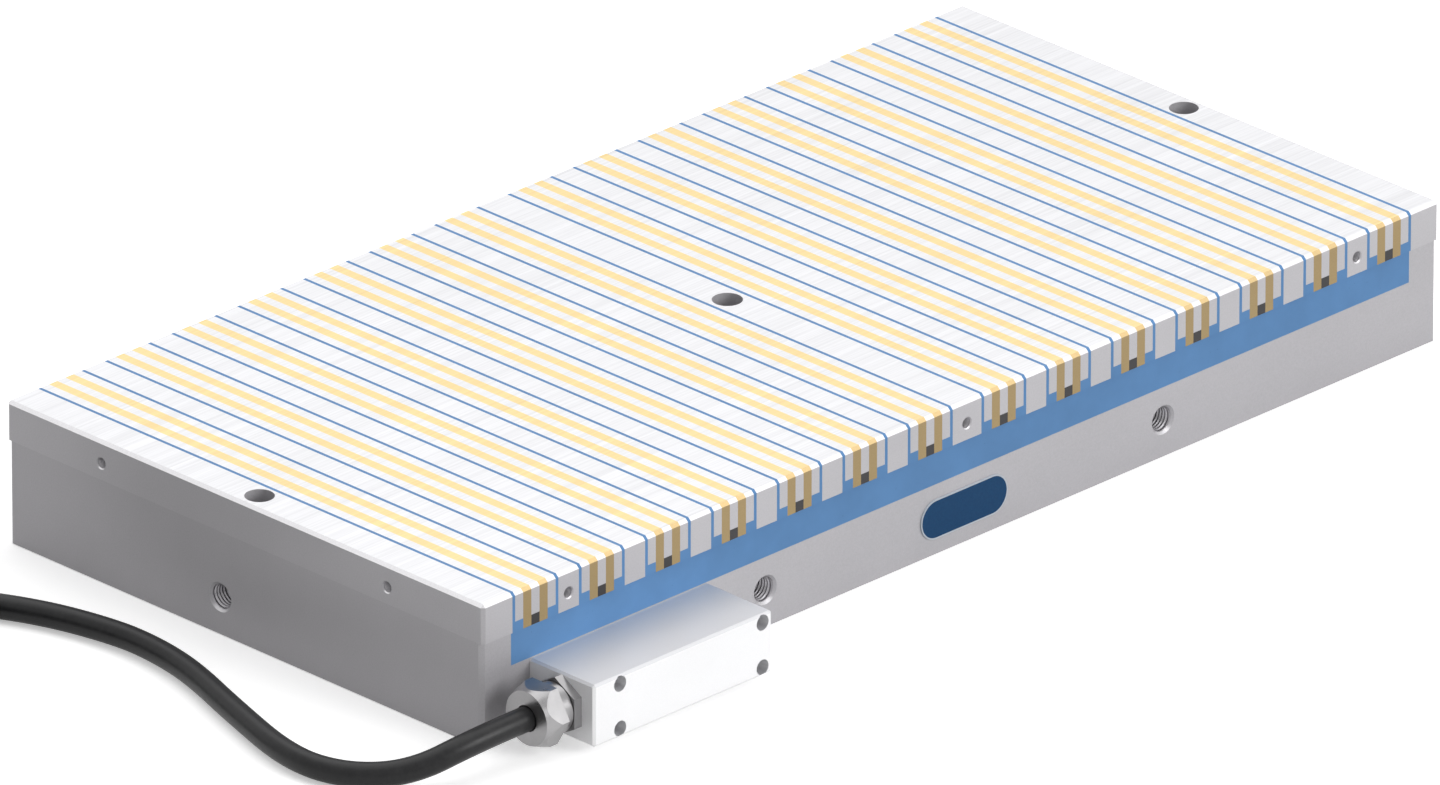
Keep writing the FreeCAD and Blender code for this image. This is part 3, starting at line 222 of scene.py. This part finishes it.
def cast_resin(name, colour):
    """Poured resin, ground flush: even colour with faint clouds and small pores, the pores coloured
    darker as painted shade.
    """
    finish = Finish(name, Specular_IOR_Level=0.2)
    clouds = finish.noise(finish.place["Object"], 45, 3.0, 0.55)
    grain = finish.noise(finish.place["Object"], 1600, 2.0, 0.6)
    pores = finish.spread(finish.noise(finish.place["Object"], 700, 1.0, 0.5), 0.16, 0.24)
    dark = [part * 0.93 for part in colour]
    light = [part * 1.05 for part in colour]
    mottled = finish.ramp(clouds, (0.3, dark), (0.7, light))
    # The pores are coloured darker than the resin round them: painted shade in the pores.
    finish.drive("Base Color", finish.blend(pores, [part * 0.75 for part in colour], mottled))
    finish.drive("Roughness", finish.spread(grain, 0.2, 0.8, 0.36, 0.50))
    finish.bump(finish.sum("MULTIPLY_ADD", pores, 2.0, grain), 0.000008)
    return finish


dress(cast_resin("blue casting resin", (0.120, 0.275, 0.535)), "base_resin", "plate_resin")

# Pole plate: a solid bar at each end, twelve wide poles, one centre pole, and between them packs of
# steel and brass strips. All are clamped together, ground flat on top and chamfered at the edge.

# The pole steel's corner colour is brighter than its top: a painted highlight on the chamfers.
plate_steel = ground_metal("ground pole steel", (0.50, 0.49, 0.51), (0.86, 0.85, 0.87), (0.80, 0.80, 0.82))
dress(plate_steel, "end_bar_left", "end_bar_right", "centre_pole")
dress(plate_steel, *(name for name in nodes if name.startswith(("wide_pole_", "pole_pack_"))))

brass = ground_metal("ground brass", (0.36, 0.26, 0.12), (0.72, 0.53, 0.26), (0.90, 0.69, 0.34))
dress(brass, "brass_strips")

dress(plain_finish("sintered ferrite", (0.018, 0.016, 0.017), 0.55, 1500, 0.15), "magnet_bars")

# Screws: socket head cap screws of hardened steel with a black oxide, under the base and in the
# corners of the housing.

black_oxide = plain_finish("black oxide", (0.022, 0.022, 0.025), 0.42, 1200, 0.2, Metallic=0.6)
dress(black_oxide, "pole_screws", "housing_screws")

# Threads for lifting eyes and stop plates: cut into the side faces, M12 low in the base and M5
# just under the working face. Each is a thin lining of its bore, with the thread's own ridges.


def thread_linings(name, places, bore, root, pitch, depth, around):
    """Threads in bores. Radius falls from bore to root as a triangle wave of depth/pitch - angle.

    A place is (mouth centre, direction into the metal). The wave's ridge line is a helix. The
    outer wall follows the bore, so that a loop down the thread and back up the wall is closed.
    """
    turns = int(round(depth / pitch * 6))
    down = np.linspace(0, depth, turns + 1)[None, :]
    angle = np.linspace(0, 2 * np.pi, around, endpoint=False)[:, None]
    wave = (down / pitch - angle / (2 * np.pi)) % 1
    height = np.clip(1.25 - np.abs(wave * 2 - 1) * 1.5, 0, 1)
    fade = np.clip(np.minimum(down, depth - down) / pitch, 0, 1)
    inner = bore - 0.00005 - (bore - 0.00005 - root) * height * fade
    wall = np.full((around, 2), bore - 0.00001)
    radius = np.concatenate([inner, wall], axis=1)
    along = np.concatenate([down + 0 * angle, np.tile([depth, 0.0], (around, 1))], axis=1)
    points, faces = [], []
    rows, columns = radius.shape
    row, column = np.meshgrid(np.arange(rows), np.arange(columns), indexing="ij")
    after, beside = (row + 1) % rows, (column + 1) % columns
    quads = np.stack([row * columns + column, row * columns + beside,
                      after * columns + beside, after * columns + column], -1).reshape(-1, 4)
    for number, (mouth, into) in enumerate(places):
        into = np.array(into, float)
        across = np.cross(into, (0, 0, 1))
        upward = np.cross(across, into)
        ring = across * np.cos(angle)[..., None] + upward * np.sin(angle)[..., None]
        spot = np.array(mouth) + into * along[..., None] + ring * radius[..., None]
        points.append(spot.reshape(-1, 3))
        faces.append(quads + number * rows * columns)
    return solid(name, np.concatenate(points), np.concatenate(faces))


def solid(name, points, faces, smooth=True):
    """A piece made of these points and faces, turned so that its faces point outwards."""
    mesh = bpy.data.meshes.new(name)
    mesh.from_pydata(points, [], faces.tolist())
    a, b, c = points[faces[:, 0]], points[faces[:, 1]], points[faces[:, 2]]
    d = points[faces[:, 3]]
    volume = (np.cross(a, b) * c).sum() + (np.cross(a, c) * d).sum()
    if volume < 0:
        mesh.flip_normals()
    mesh.polygons.foreach_set("use_smooth", [smooth] * len(mesh.polygons))
    mesh.update()
    piece = bpy.data.objects.new(name, mesh)
    bpy.context.scene.collection.objects.link(piece)
    return piece


LIFT_MOUTH, STOP_MOUTH = 0.0012, 0.0005
side_wall, end_wall, plate_wall = 0.149, 0.300, 0.150
lift_places = [((x, -side_wall + LIFT_MOUTH, 0.018), (0, 1, 0)) for x in (-0.125, 0.125)]
lift_places += [((x, side_wall - LIFT_MOUTH, 0.018), (0, -1, 0)) for x in (-0.125, 0.125)]
lift_places += [((-end_wall + LIFT_MOUTH, 0.015, 0.018), (1, 0, 0))]
lift_places += [((end_wall - LIFT_MOUTH, -0.015, 0.018), (-1, 0, 0))]
stop_places = [((x, -plate_wall + STOP_MOUTH, 0.058), (0, 1, 0)) for x in (-0.2475, 0, 0.2475)]
stop_places += [((x, plate_wall - STOP_MOUTH, 0.058), (0, -1, 0)) for x in (-0.2475, 0, 0.2475)]
stop_places += [((-end_wall + STOP_MOUTH, y, 0.058), (1, 0, 0)) for y in (-0.09, 0.09)]
stop_places += [((end_wall - STOP_MOUTH, y, 0.058), (-1, 0, 0)) for y in (-0.09, 0.09)]
lift_threads = thread_linings("lift_threads", lift_places, 0.006, 0.0051, 0.00175, 0.0186, 56)
stop_threads = thread_linings("stop_threads", stop_places, 0.0025, 0.0021, 0.0008, 0.0112, 32)
cut_thread = plain_finish("cut thread", (0.40, 0.39, 0.41), 0.36, 1800, 0.1, Metallic=0.75)
for piece, slot_name in ((lift_threads, "base_steel"), (stop_threads, "plate_steel")):
    piece.data.materials.append(cut_thread.material)
    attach(piece, "chuck")

# Connection housing: a box milled from aluminium and blasted to a fine satin, screwed against the
# base with a rubber gasket. Inside it the leads meet the cable at a terminal block.


def satin_aluminium(name, front, top):
    """Blasted aluminium with the blast's fine pits: a bright front and a top coloured darker as
    painted shade.
    """
    finish = Finish(name)
    up = finish.up()
    grain = finish.noise(finish.place["Object"], 2200, 2.0, 0.6)
    clouds = finish.noise(finish.place["Object"], 35, 2.0, 0.5)
    # The top is coloured darker than the front and ends: painted shade.
    colour = finish.ramp(up, (0.35, front), (0.75, top))
    shade = finish.sum("ADD", finish.spread(grain, 0.25, 0.75, 0.96, 1.03),
                       finish.spread(clouds, 0.25, 0.75, -0.015, 0.015))
    grey = finish.add("CombineColor", shade, shade, shade).outputs[0]
    finish.drive("Base Color", finish.blend(1.0, colour, grey, "MULTIPLY"))
    finish.drive("Metallic", finish.spread(grain, 0.2, 0.8, 0.40, 0.50))
    finish.drive("Roughness", finish.spread(grain, 0.2, 0.8, 0.42, 0.54))
    finish.bump(grain, 0.00001)
    return finish


dress(satin_aluminium("satin aluminium", (0.90, 0.90, 0.91), (0.66, 0.66, 0.68)), "connection_housing")
black_rubber = plain_finish("black rubber", (0.018, 0.018, 0.018), 0.6, 700, 0.2)
dress(black_rubber, "housing_gasket", "gland_o_ring", "gland_seal")
dress(plain_finish("terminal plastic", (0.03, 0.03, 0.033), 0.4, 500, 0.12),
      "terminal_block", "connector_insert")
dress(plain_finish("terminal brass", (0.70, 0.50, 0.20), 0.35, 600, 0.1, Metallic=1.0),
      "terminal_screws")

# Cable gland: turned brass with a nickel plating. The flange stands in the housing's thread, and
# the nut squeezes a rubber sleeve round the cable through a loose plastic ring.


def nickel_plate(name, colour, roughness):
    """Plated turned part: faint tool rings round the X axis under the plating."""
    finish = Finish(name, Metallic=1.0)
    rings = finish.noise(finish.stretched(2600, 60, 60), 1.0, 2.0, 0.5)
    smudge = finish.noise(finish.place["Object"], 90, 3.0, 0.6)
    dark = [part * 0.86 for part in colour]
    finish.drive("Base Color", finish.ramp(smudge, (0.3, dark), (0.7, colour)))
    finish.drive("Roughness", finish.spread(smudge, 0.2, 0.8, roughness - 0.06, roughness + 0.08))
    finish.bump(rings, 0.000006)
    return finish


nickel = nickel_plate("nickel plate", (0.33, 0.325, 0.33), 0.30)
dress(nickel, "gland_body", "gland_nut")
dress(plain_finish("white thrust ring plastic", (0.72, 0.72, 0.68), 0.45, 800, 0.05), "thrust_ring")

# Cable: 11.5 mm across with a black jacket. It droops out of the gland to the table, passes the
# chuck's end and is put away in a flat coil of five turns, three rows wide and two layers high.

CABLE = 0.0115
CABLE_ROUTE = [
    (-0.2923, -0.169, 0.0186),
    (-0.323, -0.169, 0.0186),
    (-0.351, -0.158, 0.0086),
    (-0.3695, -0.1365, 0.00575),
    (-0.375, -0.106, 0.00575),
    (-0.358, -0.052, 0.00575),
    (-0.3445, -0.014, 0.00575),
    (-0.3395, 0.014, 0.00575),
    (-0.3395, 0.040, 0.00575),
    (-0.349, 0.080, 0.00575),
    (-0.3702, 0.1195, 0.00575),
    (-0.391, 0.1575, 0.00685),
]
CABLE_END_ROUTE = [
    (-0.456, 0.196, 0.01865),
    (-0.480, 0.196, 0.0183),
    (-0.504, 0.196, 0.0135),
    (-0.528, 0.196, 0.0135),
]
COIL_CENTRE = (-0.456, 0.122)


def coil_turns():
    """The coil's control points, 15 to a turn, as radius and height against the winding angle.

    The winding goes inwards on the floor, rises at its inner edge and comes out on top. Each
    change of row or layer is a ramp. A control point stands out by 1/cos(half its step), because
    the spline runs inside its points.
    """
    step = 24
    angle = np.arange(28.6 + 0.9 * step, 1890 - 0.4 * step, step)
    corners = [28.6, 310, 375, 670, 735, 970, 1030, 1270, 1330, 1630, 1690, 1890]
    rows = [0.074, 0.074, 0.062, 0.062, 0.050, 0.050, 0.050, 0.050, 0.062, 0.062, 0.074, 0.074]
    layers = [0.00685] * 6 + [0.01865] * 6
    radius = np.interp(angle, corners, rows) / math.cos(math.radians(step / 2))
    height = np.interp(angle, corners, layers)
    turn = np.radians(angle)
    x = COIL_CENTRE[0] + radius * np.cos(turn)
    y = COIL_CENTRE[1] + radius * np.sin(turn)
    return np.stack([x, y, height], axis=1).tolist()


route = CABLE_ROUTE + coil_turns() + CABLE_END_ROUTE
line = bpy.data.curves.new("cable", "CURVE")
line.dimensions = "3D"
spline = line.splines.new("NURBS")
spline.points.add(len(route) - 1)
for point, place in zip(spline.points, route):
    point.co = (*place, 1)
spline.order_u = 3
spline.use_endpoint_u = True
spline.resolution_u = 12
line.bevel_depth = CABLE / 2
line.bevel_resolution = 8
line.use_fill_caps = True
cable = bpy.data.objects.new("cable", line)
bpy.context.scene.collection.objects.link(cable)


def cable_jacket(name):
    """Extruded black jacket: satin, with faint scuffs."""
    finish = Finish(name, Specular_IOR_Level=0.28)
    scuff = finish.noise(finish.place["Object"], 240, 4.0, 0.65)
    grain = finish.noise(finish.place["Object"], 2600, 2.0, 0.6)
    finish.drive("Base Color", finish.ramp(scuff, (0.3, (0.009, 0.009, 0.010)), (0.75, (0.020, 0.020, 0.021))))
    finish.drive("Roughness", finish.spread(scuff, 0.2, 0.8, 0.30, 0.46))
    finish.bump(grain, 0.000012)
    return finish


jacket = cable_jacket("black cable jacket")
line.materials.append(jacket.material)
dress(jacket, "cable_tail")
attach(cable, "chuck")
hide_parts("cable_tube", "cable_coil", "cable_end")

# Ties: three straps of black hook-and-loop webbing, 12 mm wide. Each goes once round the coil's
# section and closes on itself along the top.


def tie_straps(name, headings):
    """Straps round the coil. A strap's section is carried along a rounded rectangle.

    The path starts on top, runs down the outer side, under the coil and up the inner side, and
    its last part lies on its first. The point at length s and width w is the coil's centre plus
    (radius of s) outwards and w sideways, at the height of s.
    """
    inner, outer, low, high, corner = 0.0433, 0.0806, 0.0005, 0.0251, 0.0045
    middle = (inner + outer) / 2
    flat = np.linspace(0, 1, 9)[:-1]
    bend = np.linspace(0, np.pi / 2, 9)[:-1]
    legs = [
        (middle + (outer - corner - middle) * flat, np.full(8, high)),
        (outer - corner + corner * np.sin(bend), high - corner + corner * np.cos(bend)),
        (np.full(8, outer), high - corner + (low + corner - high + corner) * flat),
        (outer - corner + corner * np.cos(bend), low + corner - corner * np.sin(bend)),
        (outer - corner + (inner - outer + 2 * corner) * flat, np.full(8, low)),
        (inner + corner - corner * np.sin(bend), low + corner - corner * np.cos(bend)),
        (np.full(8, inner), low + corner + (high - low - 2 * corner) * flat),
        (inner + corner - corner * np.cos(bend), high - corner + corner * np.sin(bend)),
        (inner + corner + (middle - inner - corner) * flat, np.full(8, high)),
        (middle + (outer - corner - middle) * np.linspace(0, 0.9, 8), np.full(8, high)),
    ]
    radius = np.concatenate([leg[0] for leg in legs])
    height = np.concatenate([leg[1] for leg in legs])
    step = np.hypot(np.diff(radius), np.diff(height))
    length = np.concatenate([[0], np.cumsum(step)])
    lap = np.clip((length - (length[-9] - 0.004)) / 0.006, 0, 1)
    height = height + 0.001 * lap * lap * (3 - 2 * lap)
    along = np.stack([np.gradient(radius), np.gradient(height)], -1)
    along /= np.linalg.norm(along, axis=1, keepdims=True)
    outward = np.stack([-along[:, 1], along[:, 0]], -1)
    half, thick = 0.006, 0.00045
    width = np.array([-half, -half * 0.5, 0, half * 0.5, half, half, half * 0.5, 0, -half * 0.5, -half])
    rise = np.array([thick] * 5 + [-thick] * 5)
    spots_r = radius[:, None] + outward[:, :1] * rise
    spots_z = height[:, None] + outward[:, 1:] * rise
    rows, columns = spots_r.shape
    row, column = np.meshgrid(np.arange(rows - 1), np.arange(columns), indexing="ij")
    beside = (column + 1) % columns
    quads = np.stack([row * columns + column, row * columns + beside,
                      (row + 1) * columns + beside, (row + 1) * columns + column], -1).reshape(-1, 4)
    ends = []
    for first in (0, (rows - 1) * columns):
        for k in range(4):
            end = [first + k, first + k + 1, first + 8 - k, first + 9 - k]
            ends.append(end if first else end[::-1])
    quads = np.concatenate([quads, np.array(ends)])
    points, faces = [], []
    for number, heading in enumerate(headings):
        turn = math.radians(heading)
        out = np.array([math.cos(turn), math.sin(turn), 0])
        aside = np.array([-math.sin(turn), math.cos(turn), 0])
        spot = (np.array([*COIL_CENTRE, 0]) + out * spots_r[..., None] + aside * width[None, :, None]
                + np.array([0, 0, 1]) * spots_z[..., None])
        points.append(spot.reshape(-1, 3))
        faces.append(quads + number * rows * columns)
    piece = solid(name, np.concatenate(points), np.concatenate(faces))
    along_width = np.tile(np.tile(width, rows), len(headings))
    along_length = np.tile(np.repeat(length, columns), len(headings))
    uv = piece.data.uv_layers.new(name="weave")
    corner_points = np.empty(len(piece.data.loops), int)
    piece.data.loops.foreach_get("vertex_index", corner_points)
    pairs = np.stack([along_width[corner_points], along_length[corner_points]], -1)
    uv.data.foreach_set("uv", pairs.ravel())
    return piece


ties = tie_straps("tie_straps", [55.5, 175.5, 295.5])
webbing = Finish("black webbing", Roughness=0.85, Sheen_Weight=0.4, Sheen_Roughness=0.5)
across = webbing.add("SeparateXYZ", webbing.place["UV"]).outputs
warp = webbing.sum("SINE", webbing.sum("MULTIPLY", across[0], 2 * math.pi / 0.0012))
weft = webbing.sum("SINE", webbing.sum("MULTIPLY", across[1], 2 * math.pi / 0.0009))
threads = webbing.sum("MULTIPLY", warp, weft)
fuzz = webbing.noise(webbing.place["Object"], 2500, 3.0, 0.7)
cloth = webbing.sum("MULTIPLY_ADD", fuzz, 0.8, threads)
webbing.drive("Base Color", webbing.ramp(webbing.spread(cloth, -0.8, 1.6),
              (0.0, (0.010, 0.010, 0.012)), (1.0, (0.045, 0.045, 0.05))))
webbing.bump(cloth, 0.0001)
ties.data.materials.append(webbing.material)
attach(ties, "chuck")
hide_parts("coil_ties")

# Connector: a round shell turned from nickel-plated brass, with a clamping nut for the cable, seven
# gold-plated pins and a coupling ring that turns on the shell.

dress(nickel_plate("connector plate", (0.60, 0.59, 0.58), 0.26), "connector_clamp_nut", "connector_shell")
knurled = Finish("knurled coupling ring", Metallic=1.0)
ring_centre = [(low + high) / 2 for low, high in zip(*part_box("coupling_ring"))]
from_axis = knurled.add("VectorMath", knurled.place["Object"], ring_centre, operation="SUBTRACT").outputs[0]
part = knurled.add("SeparateXYZ", from_axis).outputs
heading = knurled.sum("ARCTAN2", part[2], part[1])
lean = knurled.sum("MULTIPLY", part[0], 2 * math.pi / 0.0014)
left = knurled.sum("SINE", knurled.sum("MULTIPLY_ADD", heading, 60.0, lean))
right = knurled.sum("SINE", knurled.sum("MULTIPLY_ADD", heading, 60.0, knurled.sum("MULTIPLY", lean, -1.0)))
inside = knurled.spread(knurled.sum("ABSOLUTE", part[0]), 0.0078, 0.0082, 1, 0)
teeth = knurled.sum("MULTIPLY", knurled.sum("MINIMUM", left, right), inside)
# The knurl's grooves are coloured darker than its crests: painted shade.
knurled.drive("Base Color", knurled.ramp(knurled.spread(teeth, -1, 0.6),
              (0.0, (0.22, 0.22, 0.22)), (1.0, (0.62, 0.61, 0.60))))
knurled.drive("Roughness", knurled.spread(teeth, -1, 1, 0.42, 0.26))
knurled.bump(teeth, 0.0003)
dress(knurled, "coupling_ring")
dress(plain_finish("gold-plated pins", (0.85, 0.62, 0.25), 0.25, 900, 0.06, Metallic=1.0), "connector_pins")

# Badge: a thin printed plate glued to the middle of the long side. It is bare: a navy field with a
# pale rim and no lettering.

badge = Finish("printed badge", Specular_IOR_Level=0.12)
BADGE_LENGTH, BADGE_HEIGHT, BADGE_RIM = 0.0544, 0.0192, 0.0007
badge_centre = [(low + high) / 2 for low, high in zip(*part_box("badge_plate"))]
offset = badge.add("VectorMath", badge.place["Object"], badge_centre, operation="SUBTRACT").outputs[0]
part = badge.add("SeparateXYZ", offset).outputs
beyond = badge.sum("SUBTRACT", badge.sum("ABSOLUTE", part[0]), (BADGE_LENGTH - BADGE_HEIGHT) / 2)
beyond = badge.sum("MAXIMUM", beyond, 0.0)
reach = badge.sum("SQRT", badge.sum("MULTIPLY_ADD", beyond, beyond, badge.sum("MULTIPLY", part[2], part[2])))
rim_start = BADGE_HEIGHT / 2 - BADGE_RIM
rim = badge.spread(reach, rim_start - 0.00005, rim_start + 0.00005)
grain = badge.noise(badge.place["Object"], 900, 2.0, 0.5)
navy = badge.ramp(grain, (0.3, (0.004, 0.050, 0.140)), (0.7, (0.006, 0.058, 0.155)))
badge.drive("Base Color", badge.blend(rim, navy, (0.55, 0.60, 0.66)))
badge.drive("Roughness", badge.spread(grain, 0.2, 0.8, 0.30, 0.38))
badge.bump(rim, 0.00005)
dress(badge, "badge_plate")

# Table, light and camera. The table is pale and plain. One broad lamp hangs overhead and a second
# stands off the long side, and the sky is even.

for name in ("Cube", "Light", "Camera"):
    thing = bpy.data.objects.get(name)
    if thing and thing.type in {"MESH", "LIGHT", "CAMERA"} and name not in nodes:
        bpy.data.objects.remove(thing)

table_mesh = bpy.data.meshes.new("table")
table_mesh.from_pydata([(-30, -30, -0.0003), (30, -30, -0.0003), (30, 30, -0.0003), (-30, 30, -0.0003)],
                       [], [(0, 1, 2, 3)])
table = bpy.data.objects.new("table", table_mesh)
bpy.context.scene.collection.objects.link(table)
pale = Finish("pale table", Roughness=0.9, Specular_IOR_Level=0.0)
ray = pale.add("LightPath").outputs
seen = pale.sum("MAXIMUM", ray["Is Camera Ray"],
                pale.sum("MAXIMUM", ray["Is Glossy Ray"], ray["Is Transmission Ray"]))
pale.drive("Base Color", pale.blend(seen, (0.30, 0.30, 0.30), (0.98, 0.98, 0.98)))
pale.shader.inputs["Emission Color"].default_value = (1, 1, 1, 1)
pale.drive("Emission Strength", pale.sum("MULTIPLY", seen, 0.42))
table_mesh.materials.append(pale.material)


def lamp(name, place, aim, size, power):
    """A square area lamp at place that faces aim."""
    light = bpy.data.lights.new(name, "AREA")
    light.size, light.energy = size, power
    thing = bpy.data.objects.new(name, light)
    thing.location = place
    thing.rotation_euler = (Vector(aim) - Vector(place)).to_track_quat("-Z", "Y").to_euler()
    bpy.context.scene.collection.objects.link(thing)


lamp("overhead lamp", (0.6, 0.6, 3.0), (0, 0, 0), 4.0, 58)
lamp("side lamp", (0.9, -3.2, 1.5), (0, 0, 0), 1.8, 66)

world = bpy.data.worlds.new("even sky")
bpy.context.scene.world = world
world.use_nodes = True
sky = world.node_tree.nodes["Background"]
path = world.node_tree.nodes.new("ShaderNodeLightPath")
join = world.node_tree.links.new
either = [world.node_tree.nodes.new("ShaderNodeMath") for _ in range(2)]
for step in either:
    step.operation = "MAXIMUM"
join(path.outputs["Is Glossy Ray"], either[0].inputs[0])
join(path.outputs["Is Transmission Ray"], either[0].inputs[1])
join(path.outputs["Is Camera Ray"], either[1].inputs[0])
join(either[0].outputs[0], either[1].inputs[1])
level = world.node_tree.nodes.new("ShaderNodeMapRange")
level.inputs["To Min"].default_value = 0.40
level.inputs["To Max"].default_value = 1.0
join(either[1].outputs[0], level.inputs["Value"])
join(level.outputs[0], sky.inputs["Strength"])
sky.inputs["Color"].default_value = (1, 1, 1, 1)

lens = bpy.data.cameras.new("camera")
lens.lens, lens.sensor_width = 850, 36
lens.clip_start, lens.clip_end = 0.1, 100
camera = bpy.data.objects.new("camera", lens)
bpy.context.scene.collection.objects.link(camera)
around, above = math.radians(-44.903), math.radians(25.04)
back = Vector((math.sin(around) * math.cos(above), -math.cos(around) * math.cos(above), math.sin(above)))
camera.location = Vector((-0.01919, -0.01462, 0.0345)) + 15.1045 * back
camera.rotation_euler = (-back).to_track_quat("-Z", "Y").to_euler()
bpy.context.scene.camera = camera
bpy.context.scene.view_settings.view_transform = "Standard"
